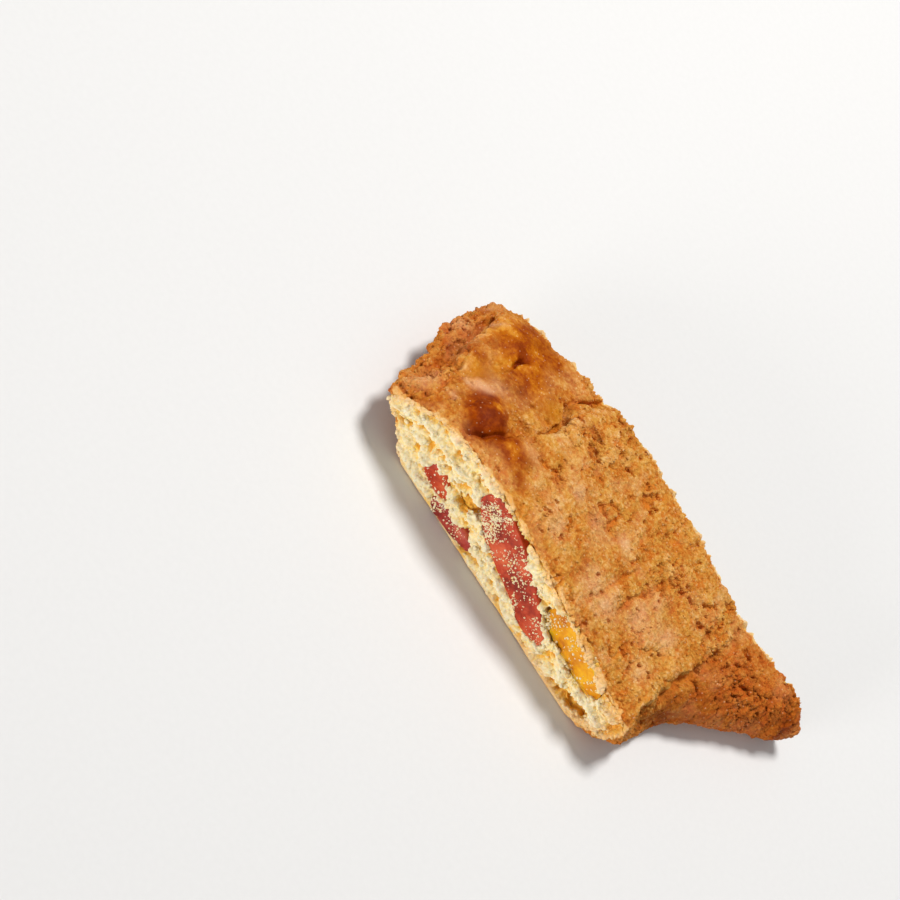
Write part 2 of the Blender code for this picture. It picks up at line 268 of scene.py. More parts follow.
# folds, where one side stands over the other: (line, height, width), in mm; the higher side is on the
# right of the way the line runs
crustFolds = [
    ([(-39.1, -7.4), (-40.9, -5.2), (-42.0, -1.9), (-42.0, 3.1), (-42.6, 8.1), (-44.0, 11.0)], 1.0, 3.5),
    ([(-24.0, -5.2), (-22.3, -2.2), (-21.3, -0.4), (-21.5, 2.7), (-22.9, 5.1), (-23.8, 8.2), (-22.3, 10.2),
      (-20.6, 13.5)], 0.85, 3.5),
    ([(-33.9, -15.0), (-33.6, -12.5), (-33.2, -9.6), (-30.6, -7.8), (-28.2, -7.6)], 0.45, 3.0),
    ([(25.9, 16.1), (25.7, 7.2), (24.7, 1.0), (24.4, -3.8), (24.6, -8.1), (24.2, -12.0),
      (24.2, -17.0)], 0.55, 2.5),
    ([(-17.5, -16.0), (-18.0, -11.7), (-18.7, -8.7), (-20.3, -6.1), (-22.6, -4.7)], 0.35, 2.0),
]
# patches that swelled in the oven: (x, y, radius, height), in mm
crustSwells = [
    (-31.6, -11.3, 3.6, 0.55), (-28.9, -10.5, 2.6, 0.25), (-23.2, -12.5, 3.6, 0.45), (-37.6, 6.0, 5.0, 0.4),
    (-35.2, -7.2, 2.2, 0.5), (-25.5, 2.0, 2.6, 0.3), (-15.5, 9.0, 3.0, 0.4)]
# where the crust is coarse and crumbly, smooth and glossy, dark, golden or pale:
# (x, y, radius, strength), with x, y and radius in mm
coarseSpots = [
    (-45.2, -6.3, 3.6, 0.6), (-46.3, 1.2, 3.3, 0.6), (-44.2, -12.2, 2.2, 0.6), (-46.3, 5.8, 1.7, 0.6),
    (-40.6, -11.0, 2.5, 0.6), (-42.2, -17.2, 1.7, 0.7), (-33.6, -1.7, 2.2, 0.4), (-16.6, 6.0, 4.3, 1),
    (-19.1, 1.2, 2.5, 0.8),
    (-15.2, 13.5, 2.9, 0.8), (-15.3, -6.9, 2.2, 0.8), (-11.5, -14.6, 1.8, 0.6), (-24.9, 14.1, 2.5, 0.6),
    (-14.7, -13.3, 1.4, 0.6), (0.1, 4.5, 2.2, 0.5), (6.4, 5.4, 2.9, 0.6), (12.7, 6.2, 2.9, 0.6),
    (19.2, 7.6, 3.2, 0.6),
    (27.2, 8.4, 4.5, 0.9), (34.7, 10.7, 4.5, 0.9), (7.3, -7.3, 2.5, 0.5), (-1.9, -17.8, 1.8, 0.5),
    (9.3, -17.7, 1.8, 0.5), (20.6, -17.8, 2.5, 0.5), (14.9, -7.5, 2.5, 0.4), (42, 15, 4, 0.6)]
glossySpots = [
    (-34.0, 3.0, 7.5, 0.7), (-33.5, -9.0, 6.0, 0.6), (-35.5, 11.0, 5.5, 0.7), (-24.5, -12.5, 4.5, 0.5),
    (-29.5, 2.0, 5.0, 0.4), (33.0, 0.5, 5.0, 0.45), (40.0, 8.0, 5.0, 0.45), (45.5, 14.0, 4.0, 0.6),
    (-31.6, -11.3, 3.9, 1), (-38.3, 6.1, 4.4, 1), (-39.9, -3.1, 1.9, 0.7), (-29.6, -15.4, 2.5, 1),
    (-38.2, -17.4, 1.9, 0.6), (-37.1, -5.2, 1.7, 0.5), (-23.8, -12.1, 3.2, 1), (-19.4, -15.0, 1.8, 0.7),
    (-30.6, 11.8, 2.2, 0.6), (-24.7, 1.5, 1.4, 0.5), (43.6, 17.3, 1.8, 0.7), (45.5, 15.7, 1.4, 0.6),
    (29.4, -5.4, 2.9, 0.5), (26.2, -19.5, 2.2, 0.5), (-34.5, 4.0, 3.0, 0.4)]
# the dark spots are over-baked patches, and on the furrows and under the folds they are painted shade
darkSpots = [
    (-32.0, -10.8, 3.0, 0.9), (-30.4, -14.2, 2.5, 0.8), (-28.9, -9.8, 1.9, 0.45), (-30.2, -17.1, 2.2, 0.6),
    (-37.7, 5.2, 3.0, 0.35), (-38.6, 9.5, 2.2, 0.3), (-35.0, 4.5, 1.1, 0.8), (-44.5, 10.2, 1.4, 0.45),
    (-36.8, -15.5, 1.7, 0.35), (-38.9, -18.3, 1.4, 0.3), (-43.2, -1.8, 0.8, 0.5), (-42.6, -6.6, 0.8, 0.4),
    (-40.5, -2.9, 1.4, 0.45), (-31.9, -0.8, 2.5, 0.35), (-26.1, -11.8, 2.2, 0.6), (-22.3, -13.9, 2.5, 0.5),
    (-18.7, -15.6, 1.8, 0.3), (-38.5, 11.7, 2.5, 0.3), (-34.2, 11.5, 2.5, 0.35), (-29.9, 10.9, 1.8, 0.3),
    (-23.7, 7.0, 1.6, 0.6), (-15.4, 2.1, 1.1, 0.5), (29.8, 5.7, 5.4, 0.3), (37.3, 11.6, 5.0, 0.35),
    (42.4, 15.2, 3.6, 0.4), (24.0, 4.1, 1.8, 0.25), (29.0, -5.6, 3.6, 0.4), (25.6, -19.8, 3.6, 0.3),
    (46.0, 18.0, 3.0, 0.4), (33.0, 2.0, 6.0, 0.25), (40.0, 8.0, 6.0, 0.2), (-44.5, -1.0, 4.0, 0.3),
    (-44.0, -9.0, 4.0, 0.3)]
goldenSpots = [
    (-37.4, -5.7, 1.7, 0.9), (-36.3, -2.7, 1.9, 0.6), (-39.4, -5.1, 1.4, 0.5), (-36.7, 0.4, 1.7, 0.4),
    (-24.8, 2.6, 2.3, 1), (-23.1, -1.2, 1.6, 0.6), (-35.9, 9.6, 1.8, 0.4), (-21.1, 1.8, 1.4, 0.7),
    (-18.4, -3.3, 1.6, 0.7), (-15.6, -13.7, 2.0, 0.9), (-13.3, -18.0, 1.8, 0.6), (-12.2, 15.7, 1.8, 0.4),
    (-21.1, 13.4, 1.6, 0.4), (-8.8, -16.8, 1.4, 0.4)]
# the pale spots are a dusting of flour, and on the ridges they are painted highlights
flourAndHighlightSpots = [
    (-35.9, -7.7, 1.4, 1.0), (-34.4, -7.0, 1.4, 0.8), (-33.8, -4.6, 1.9, 0.5), (-37.4, -8.3, 0.8, 0.7),
    (-37.0, -13.4, 0.8, 0.7), (-39.6, -6.3, 0.8, 0.4), (-42.1, 6.3, 0.8, 0.6), (-45.0, 10.8, 0.6, 0.5),
    (-46.3, 2.4, 1.7, 0.4), (-41.3, -12.1, 1.9, 0.4), (-41.6, -14.7, 1.7, 0.4), (-11.3, -4.4, 1.8, 0.7),
    (0.5, -0.5, 1.6, 0.8), (-9.0, -13.6, 2.2, 0.5), (1.9, -10.6, 2.9, 0.4), (12.2, -5.5, 2.9, 0.7),
    (6.3, -11.0, 2.2, 0.8), (11.8, 0.9, 2.2, 0.5), (-22.3, -8.6, 1.6, 0.4), (-5.7, -3.1, 2.5, 0.4),
    (17.8, -2.2, 2.5, 0.5), (19.0, -10.3, 2.5, 0.4)]
# the crust's outline (x, z) round each cut, from the left end over the top and back along the base, in mm
frontOutline = np.array([
    (-44.0, 7.4), (-40.7, 10.4), (-35.8, 13.9), (-27.8, 16.8), (-16.3, 17.4), (0.7, 14.9), (15.7, 12.1),
    (24.7, 11.4), (26.3, 8.8), (24.7, 5.0), (22.3, 1.9), (18.9, 0), (-32.5, 0)])
backOutline = np.array([
    (-45.7, 6.6), (-42.1, 9.6), (-36.3, 12.2), (-28.3, 13.8), (-13.3, 16.2), (0.7, 15.2), (15.7, 13.0),
    (25.5, 10.6), (33.9, 10.9), (42.1, 12.0), (48.7, 5.6), (48.1, 0), (-34.2, 0)])
# hollows that show in the front cut: (x, z, half length, half height, slope in degrees, depth), in mm
frontHollows = [
    (-19.4, 9.0, 3.6, 0.9, 38, 1.9), (-23.2, 9.8, 1.8, 0.7, 20, 1.4), (18.2, 3.4, 3.0, 1.3, 30, 1.7),
    (15.4, 2.4, 1.6, 0.8, 20, 1.2), (-35.5, 9.6, 1.8, 0.5, 25, 1.0), (-6.0, 3.0, 1.4, 0.6, 0, 1.0)]


# removes the small closed pockets that the voxels leave inside
def dropPockets(bm):
    left = set(bm.verts)
    while left:
        shell = {left.pop()}
        edge = list(shell)
        while edge:
            near = {e.other_vert(v) for v in edge for e in v.link_edges} & left
            left -= near
            shell |= near
            edge = list(near)
        if len(shell) < dough["pocket"]:
            bmesh.ops.delete(bm, geom=list(shell), context="VERTS")


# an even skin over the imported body, fine enough for the relief
def doughSkin():
    # the body and slightly swollen strips as one skin, so that the dough closes where the fruit will lie
    bm = copyOfNode("cookie_body")
    for name in fruitNames:
        strip = copyOfNode(name)
        strip.normal_update()
        middle = (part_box(name)[0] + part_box(name)[1]) / 2
        for v in strip.verts:
            v.co += v.normal * dough["stripSwell"] * mm
            v.co.y += 0.9 * mm * (1 if v.co.y < middle.y else -1)
        mesh = bpy.data.meshes.new("swollen")
        strip.to_mesh(mesh)
        strip.free()
        bm.from_mesh(mesh)
        bpy.data.meshes.remove(mesh)
    body = newObject("bakedDough", bm)
    voxelSkin(body, dough["voxel"])

    bm = bmesh.new()
    bm.from_mesh(body.data)
    dropPockets(bm)
    for _ in range(5):
        bmesh.ops.smooth_vert(bm, verts=[v for v in bm.verts if v.co.z > 0.4 * mm], factor=0.5,
                              use_axis_x=True, use_axis_y=True, use_axis_z=True)
    bm.normal_update()
    # finer faces where the detail is: the front cut most of all, the base not at all
    front = [e for e in bm.edges if max(v.co.y for v in e.verts) / mm < frontY + 1.1]
    chosen = set(front)
    rest = [e for e in bm.edges if e not in chosen and max(v.co.z for v in e.verts) > 0.5 * mm]
    bmesh.ops.subdivide_edges(bm, edges=rest, cuts=1, use_grid_fill=True)
    bmesh.ops.subdivide_edges(bm, edges=[e for e in front if e.is_valid], cuts=dough["frontCuts"],
                              use_grid_fill=True)
    for _ in range(2):
        bmesh.ops.smooth_vert(bm, verts=[v for v in bm.verts if v.co.z > 0.3 * mm], factor=0.5,
                              use_axis_x=True, use_axis_y=True, use_axis_z=True)
    bm.to_mesh(body.data)
    bm.free()
    return body


# how far the torn crumb of a cut stands out, its pores, and where the fruit shows
def crumbRelief(points, faceSeed, hollows, outlines):
    x, z = points[:, 0], points[:, 2]
    size, height = dough["crumbTorn"]
    torn = grainOf(points * dough["tornStretch"], size, faceSeed + 1, 4)
    rise = height * torn
    size, height = dough["crumbGranules"]
    warped = points + 0.25 * grainOf(points, 0.9, faceSeed + 6)[:, None]
    rise += height * granulesOf(warped, size, faceSeed)
    size, height = dough["crumbGrit"]
    rise += height * granulesOf(points, size, faceSeed + 7)
    # pores: the deepest of the torn places, and some larger flat ones
    tornPore = smoothStep(-0.22, -0.62, torn)
    ragged = 0.14 * grainOf(points, 0.8, faceSeed + 8, 2)
    size, deepest = dough["pores"]
    near = cellsOf(points, size, faceSeed + 2, dough["poreStretch"])[0]
    poreReach = grainOf(points, 5.0, faceSeed + 3) * 0.16 + 0.26
    pore = smoothStep(poreReach, poreReach * 0.45, near + ragged)
    depth = np.maximum(deepest * pore, dough["tornPore"] * tornPore)
    pore = np.maximum(pore, 0.8 * tornPore)
    for hollowX, hollowZ, halfLength, halfHeight, slope, deep in hollows:
        turn = radians(slope)
        along = (x - hollowX) * cos(turn) + (z - hollowZ) * sin(turn)
        across = (z - hollowZ) * cos(turn) - (x - hollowX) * sin(turn)
        away = np.hypot(along / halfLength, across / halfHeight) + 0.45 * grainOf(points, 1.2, 9, 2)
        inside = smoothStep(1.15, 0.75, away)
        depth = np.maximum(depth, deep * inside)
        pore = np.maximum(pore, inside)
    # the dough stands back where the fruit shows, behind a ragged edge
    fruit = np.zeros(x.shape)
    ragged = 0.65 * grainOf(points, 1.2, faceSeed + 5, 3)
    for outline in outlines:
        inside = insideOutline(x, z, outline) + ragged + dough["fruitEdge"]
        fruit = np.maximum(fruit, smoothStep(0.0, 0.35, inside))
    recess = dough["fruitRecess"] * fruit
    rise = np.where(fruit > 0.02, mix(rise - depth * (1 - fruit), -0.3, fruit) - recess, rise - depth)
    return rise, pore, fruit


# how far the crust stands out, its gaps, and where it is coarse, glossy or in smooth plates; the spots
# and lines in plan are warped a little, so that none has a clean edge
def crustRelief(points):
    x, y = points[:, 0], points[:, 1]
    warpX = x + 0.8 * grainOf(points, 3.0, 21, 2)
    warpY = y + 0.8 * grainOf(points, 3.0, 22, 2)
    coarse = np.clip(spotsAt(warpX, warpY, coarseSpots), 0, 1)
    glossy = np.clip(spotsAt(warpX, warpY, glossySpots), 0, 1) * (1 - 0.8 * coarse)
    # crumbly and dull along both cuts
    rim = np.exp(-np.maximum(y - frontY, 0) / 1.2) + np.exp(-np.maximum(backY(x) - y, 0) / 1.2)
    coarse = np.clip(coarse + 0.7 * rim, 0, 1)
    glossy = glossy * (1 - 0.8 * np.clip(rim, 0, 1))
    size, smoother = dough["plates"]
    plate = smoothStep(-0.05, 0.30, grainOf(points, size, 35, 3)) * (1 - coarse) * (1 - glossy)
    dry = (1 - 0.70 * glossy) * (1 - smoother * plate)
    size, height = dough["crustLumps"]
    rise = height * (1 - 0.4 * glossy) * grainOf(points, size, 23, 3)
    size, height = dough["crags"]
    rise += height * dry * (0.36 + 0.95 * coarse) * grainOf(points, size, 30, 4)
    size, height = dough["bigGranules"]
    warped = points + 0.4 * grainOf(points, 1.6, 32)[:, None]
    rise += height * dry * (0.25 + 0.95 * coarse) * granulesOf(warped, size, 24)
    size, height = dough["clods"]
    warped = points + 0.7 * grainOf(points, 2.6, 34, 2)[:, None]
    rise += height * coarse * granulesOf(warped, size, 41)
    size, height = dough["fineGranules"]
    warped = points + 0.2 * grainOf(points, 0.9, 33)[:, None]
    rise += height * (1 - 0.65 * glossy) * granulesOf(warped, size, 25)
    # furrows along the left end, where the dough was dragged as it spread
    size, height = dough["furrows"]
    band = smoothStep(-37.5, -41.5, x) * smoothStep(1.5, 4.0, points[:, 2])
    drawn = np.stack([warpX, 0.22 * warpY, 0.5 * points[:, 2]], axis=1)
    rise += height * band * (1 - 0.7 * np.clip(glossy, 0, 1)) * grainOf(drawn, size, 39, 3)
    # ragged pits in patches, steep at the edge
    size, deepest = dough["crustPits"]
    patchy = grainOf(points, 6.0, 27) + 0.4 * coarse - 0.25 * plate
    pit = smoothStep(0.44, 0.60, grainOf(points, size, 26, 4) + 0.40 * patchy) * (1 - glossy)
    depth = deepest * pit
    # fissures where the skin dried first and broke into plates
    size, deepest = dough["fissures"]
    warped = points + 0.9 * grainOf(points, 2.4, 36, 2)[:, None] + 0.3 * grainOf(points, 0.8, 37)[:, None]
    gap = cellsOf(warped, size, 28)[1]
    broken = smoothStep(-0.05, 0.25, grainOf(points, 4.0, 29, 2))
    crack = smoothStep(0.13, 0.0, gap) * broken * (1 - glossy)
    depth += deepest * crack
    for line, high, width in crustFolds:
        away, place = fromLine(warpX, warpY, line)
        fade = smoothStep(0.0, 0.15, place) * smoothStep(1.0, 0.85, place)
        rise += high * fade * smoothStep(-0.2, 0.35, away) * np.exp(-np.maximum(away, 0) / width)
    rise += spotsAt(x, y, crustSwells)
    for line, deep, halfWidth in crustCracks:
        away, place = fromLine(warpX, warpY, line)
        fade = smoothStep(0.0, 0.12, place) * smoothStep(1.0, 0.88, place)
        cut = np.exp(-(away / halfWidth) ** 2) * mix(0.3, 1.0, fade)
        depth += deep * cut
        crack = np.maximum(crack, cut)
    return rise - depth, np.maximum(pit, 0.8 * crack), coarse, glossy, plate, warpX, warpY


# gives the skin its relief, and stores what the material needs to know about each point
def shapeDough(body):
    mesh = body.data
    points, normals = meshPoints(mesh), meshNormals(mesh)
    x, y, z = points.T
    ragged = 0.35 * grainOf(points, 1.6, 31, 2)
    frontShare = smoothStep(1.0, 0.35, y - frontY + ragged) * smoothStep(-0.25, -0.65, normals[:, 1])
    backShare = smoothStep(1.0, 0.35, backY(x) - y + ragged) * smoothStep(0.25, 0.65, normals[:, 1])
    # hollows and fruit channels go deeper than the cut's own grain
    for share, depth, outline in (
            (frontShare, y - frontY, frontOutline), (backShare, backY(x) - y, backOutline)):
        inside = insideOutline(x, z, outline) > 0.9
        share[inside & (depth < dough["cutDepth"]) & (np.abs(normals[:, 1]) > 0.2)] = 1.0
    backShare *= smoothStep(42.0, 37.0, x)
    cutShare = np.clip(frontShare + backShare, 0, 1)
    underShare = smoothStep(0.9, 0.3, z) * smoothStep(-0.4, -0.8, normals[:, 2])

    frontSections = [sectionOf(name, True) for name in fruitNames]
    backSections = [sectionOf(name, False) for name in fruitNames]
    relief = np.zeros(x.shape)
    pore = np.zeros(x.shape)
    fruit = np.zeros(x.shape)
    for share, seed, hollows, sections in ((frontShare, 40, frontHollows, frontSections),
                                           (backShare, 60, [], backSections)):
        on = share > 0.01
        rise, holes, inFruit = crumbRelief(points[on], seed, hollows, sections)
        relief[on] += share[on] * rise
        pore[on] = np.maximum(pore[on], share[on] * holes)
        fruit[on] = np.maximum(fruit[on], share[on] * inFruit)
    rise, pits, coarse, glossy, plate, warpX, warpY = crustRelief(points)
    relief += (1 - cutShare) * rise
    relief *= smoothStep(0.1, 1.6, z)

    # how far each point is from the crust, for the toasted rim round the crumb
    crustTree = kdtree.KDTree(len(points))
    crustPoints = [k for k in range(len(points)) if cutShare[k] < 0.2 and z[k] > 0.6]
    for k in crustPoints[::3]:
        crustTree.insert(Vector(points[k]), k)
    crustTree.balance()
    fromCrust = np.zeros(x.shape)
    for k in np.nonzero(cutShare > 0.05)[0]:
        fromCrust[k] = crustTree.find(Vector(points[k]))[2]
    fromCrust = np.minimum(fromCrust, z + 0.3)
    # at the front cut the lower right end and the base there are toasted deeper
    fromCrust *= 1 - 0.7 * smoothStep(16.0, 22.0, x) * (y < 0)
    fromCrust *= 1 - 0.5 * smoothStep(-5.0, 10.0, x) * smoothStep(4.5, 2.0, z) * (y < 0)

    moved = points + normals * relief[:, None]
    moved[:, 2] = np.maximum(moved[:, 2], 0.0)
    moved[z < 0.12, 2] = 0.0
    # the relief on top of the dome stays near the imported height
    above = np.maximum(moved[:, 2] - dough["reliefTop"], 0)
    moved[:, 2] -= 0.5 * above
    movePoints(mesh, moved)

    # at the rim the crust breaks away in places and pale crumb shows from above
    broken = 1.1 * grainOf(points, 2.2, 38, 3)
    reach = 1.5 + 1.1 * smoothStep(-15.0, 5.0, x) * smoothStep(22.0, 14.0, x)
    rimShare = smoothStep(reach, 0.2, y - frontY + broken) * smoothStep(0.45, -0.25, normals[:, 1])
    backRim = smoothStep(1.2, 0.2, backY(x) - y + broken) * smoothStep(-0.45, 0.25, normals[:, 1])
    rimShare = np.maximum(rimShare, backRim * smoothStep(38.0, 33.0, x)) * smoothStep(1.0, 3.0, z)
    storeValue(mesh, "crumb", np.clip(np.maximum(cutShare, rimShare), 0, 1))
    storeValue(mesh, "fromCrust", fromCrust)
    storeValue(mesh, "hollow", np.clip(np.maximum(pore, (1 - cutShare) * pits), 0, 1))
    storeValue(mesh, "relief", relief)
    storeValue(mesh, "glaze", glossy * (1 - cutShare))
    storeValue(mesh, "coarse", coarse * (1 - cutShare))
    storeValue(mesh, "plate", plate * (1 - cutShare))
    storeValue(mesh, "dark", np.clip(spotsAt(warpX, warpY, darkSpots), 0, 1))
    storeValue(mesh, "golden", np.clip(spotsAt(warpX, warpY, goldenSpots), 0, 1))
    storeValue(mesh, "flourAndHighlight", np.clip(spotsAt(warpX, warpY, flourAndHighlightSpots), 0, 1))
    # both spread ends, the tail more than the left end
    ruddy = np.maximum(smoothStep(24.0, 30.0, warpX), 0.7 * smoothStep(-39.5, -42.5, warpX))
    storeValue(mesh, "ruddy", ruddy)
    storeValue(mesh, "under", underShare)
    storeValue(mesh, "tone", np.zeros(x.shape))


# fewer triangles where the surface is plain
def thin(obj, triangles):
    obj.data.calc_loop_triangles()
    fewer = obj.modifiers.new("fewer triangles", "DECIMATE")
    fewer.ratio = triangles / len(obj.data.loop_triangles)
    fewer.use_collapse_triangulate = True
    graph = bpy.context.evaluated_depsgraph_get()
    made = bpy.data.meshes.new_from_object(obj.evaluated_get(graph))
    obj.modifiers.clear()
    obj.data = made


print("shaping the dough")
body = doughSkin()
shapeDough(body)
thin(body, dough["triangles"])
body.data.shade_smooth()
print("dough:", len(body.data.polygons), "triangles")


# what shapeDough stored at each point of the dough
doughValues = (
    "crumb", "fromCrust", "hollow", "relief", "glaze", "coarse", "plate", "dark", "golden", "flourAndHighlight", "ruddy",
    "under", "tone")
# real sizes of the patterns in the dough's colour and bump, in mm
doughPatterns = {"speckle": 0.7, "blotch": 4.0, "tint": 2.2, "grit": 0.42, "grain": 0.8, "sugar": 1.0}


# twice-baked dough: a dry crust browned by egg and sugar over pale open crumb, both matte,
# with a soft gloss where the top was glazed; light goes a little way into the crumb
def bakedDough(name, throughCrust, throughCrumb, bumpDepth):
    material = newMaterial(name)
    place = addNode(material, "TexCoord").outputs["Object"]
    scale = {key: 1 / (size * mm) for key, size in doughPatterns.items()}
    sources = {key: addNode(material, "Attribute", attribute_name=key).outputs["Fac"] for key in doughValues}
    for key, detail, roughness in (("speckle", 4.0, 0.65), ("blotch", 5.0, 0.6), ("tint", 3.0, 0.6)):
        pattern = addNode(material, "TexNoise", {
            "Vector": place, "Scale": scale[key], "Detail": detail, "Roughness": roughness})
        sources[key] = pattern.outputs["Fac"]
    for key in ("grit", "grain", "sugar"):
        pattern = addNode(material, "TexVoronoi", {"Vector": place, "Scale": scale[key], "Randomness": 1.0})
        sources[key] = pattern.outputs["Distance"]

    # the sum of start and the named sources, each times its share
    def add(shares, start=0.0):
        total = start
        for key, share in shares.items():
            step = addNode(material, "Math", {0: sources[key], 1: share, 2: total}, operation="MULTIPLY_ADD")
            total = step.outputs[0]
        return total

    # lays colours over one another: (how much, hex colour or colour socket)
    def layered(colour, layers):
        for share, over in layers:
            top = linear(over) if isinstance(over, str) else over
            layer = addNode(material, "Mix", {"Factor": share, 6: colour, 7: top}, data_type="RGBA")
            colour = layer.outputs[2]
        return colour

    # how dark the dry crust is, from 0 to 1: its browning, with painted shade that darkens it where it lies
    # low, in its pits and in the gaps between its grains
    bakedAndShaded = add({"dark": 0.50, "hollow": 0.05, "relief": -0.20, "coarse": 0.03, "plate": -0.06,
                 "flourAndHighlight": -0.14, "under": 0.12, "tone": -0.5, "blotch": 0.75, "speckle": 1.0, "grit": 0.20,
                 "grain": 0.36}, start=-0.70)
    crust = addNode(material, "ValToRGB", {"Fac": bakedAndShaded}, stops=[
        (0.05, "#E2BA84"), (0.26, "#D59F5A"), (0.44, "#C68432"), (0.62, "#B86410"), (0.80, "#A24A04"),
        (1.0, "#702A02")])
    # some patches lean to yellow, some to red-brown
    warmth = addNode(material, "MapRange", {"Value": sources["tint"], "From Min": 0.40, "From Max": 0.62})
    warm = layered(linear("#D2A44E"), [(warmth.outputs[0], "#C27034")])
    # where egg and sugar glazed it the crust is a clear orange to chestnut brown, with painted shade that
    # darkens it where it lies low
    glazedShade = add({"dark": 0.65, "blotch": 1.9, "tint": 0.5, "speckle": 0.7, "relief": -0.25},
                      start=-1.14)
    glazed = addNode(material, "ValToRGB", {"Fac": glazedShade}, stops=[
        (0.05, "#CE8A2A"), (0.30, "#B26004"), (0.60, "#903C00"), (0.95, "#702400")])
    # single sugar grains caught on the crust, as pale specks that are partly painted glints
    sugar = addNode(material, "MapRange", {
        "Value": sources["sugar"], "From Min": 0.18, "From Max": 0.06, "To Max": 0.28})
    crustColour = layered(crust.outputs["Color"], [
        (add({"hollow": 0.75}), "#D06E08"),     # light caught in the gaps and pits
        (0.30, warm),
        (add({"ruddy": 0.42}), "#A84A16"),      # both spread ends are baked redder
        (add({"glaze": 1.0}), glazed.outputs["Color"]),
        (add({"golden": 0.55}), "#BC780A"),
        # flour and smooth plates are paler, and the pale spots on the ridges are painted highlights
        (add({"flourAndHighlight": 0.55, "plate": 0.12}), "#DDAC86"),
        (sugar.outputs[0], "#F2DCB8")])

    # the crumb: pale, toasted next to the crust; painted shade makes it darker and yellower down in its
    # pores, in low places and in the gaps between its grains, and lighter on its raised grains
    lit = add({"hollow": -0.40, "relief": 0.26, "speckle": 0.75, "grit": -0.20, "grain": -0.35, "tone": 0.6},
              start=0.56)
    crumb = addNode(material, "ValToRGB", {"Fac": lit}, stops=[
        (0.05, "#E4AE48"), (0.26, "#EAC468"), (0.46, "#E8CE90"), (0.68, "#E3D3A9"), (0.95, "#DFD5BA")])
    toast = add({"fromCrust": -0.45, "blotch": 0.9, "speckle": 0.7}, start=-0.05)
    toastShare = addNode(material, "Clamp", {"Value": toast})
    crumbColour = layered(crumb.outputs["Color"], [(toastShare.outputs[0], "#D29340")])
    # crust and crumb meet in a ragged line
    edge = add({"crumb": 1.0, "speckle": 0.6}, start=-0.3)
    edgeShare = addNode(material, "MapRange", {"Value": edge, "From Min": 0.35, "From Max": 0.65})
    colour = layered(crustColour, [(edgeShare.outputs[0], crumbColour)])

    # grit finer than the mesh, less of it in the glaze and the crumb
    height = add({"grit": -0.7, "grain": -0.7, "speckle": 0.7}, start=1.0)
    bumpShare = add({"glaze": -0.65, "crumb": -0.40}, start=0.80)
    bump = addNode(material, "Bump", {"Height": height, "Strength": bumpShare, "Distance": bumpDepth * mm})
    surface = addNode(material, "BsdfPrincipled", {
        "Base Color": colour, "Normal": bump.outputs[0], "IOR": 1.45, "Specular IOR Level": 0.06,
        "Roughness": add({"glaze": -0.14, "speckle": 0.2}, start=0.60),
        "Subsurface Weight": throughCrust,
        "Subsurface Radius": (1.0, 0.75, 0.50), "Subsurface Scale": 0.6 * mm})
    if throughCrumb != throughCrust:
        through = add({"crumb": throughCrumb - throughCrust}, start=throughCrust)
        material.node_tree.links.new(through, surface.inputs["Subsurface Weight"])
    addNode(material, "OutputMaterial", {"Surface": surface.outputs[0]})
    return material


body.data.materials.clear()
body.data.materials.append(bakedDough("twiceBakedDough", 0.20, 0.60, 0.28))
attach(body, "root")
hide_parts("cookie_body")

# crumbs that cling to the surface: how many, their sizes in mm, and the share that sits in the surface
crumbs = {
    "onCut": {"count": 1300, "size": (0.30, 1.00), "sunk": 0.72, "seed": 3},
    "onCrust": {"count": 900, "size": (0.30, 0.85), "sunk": 0.62, "seed": 5},
    "onFruit": {"count": 1200, "size": (0.14, 0.50), "sunk": 0.55, "seed": 11},
    "jitter": 0.16,         # how uneven each crumb is
    "tone": 0.10,           # how much the crumbs differ in shade
}
crumbMaterial = bakedDough("looseCrumb", 0.0, 0.0, 0.03)


def readValue(mesh, name):
    values = np.empty(len(mesh.vertices), dtype=np.float32)
    mesh.attributes[name].data.foreach_get("value", values)
    return values


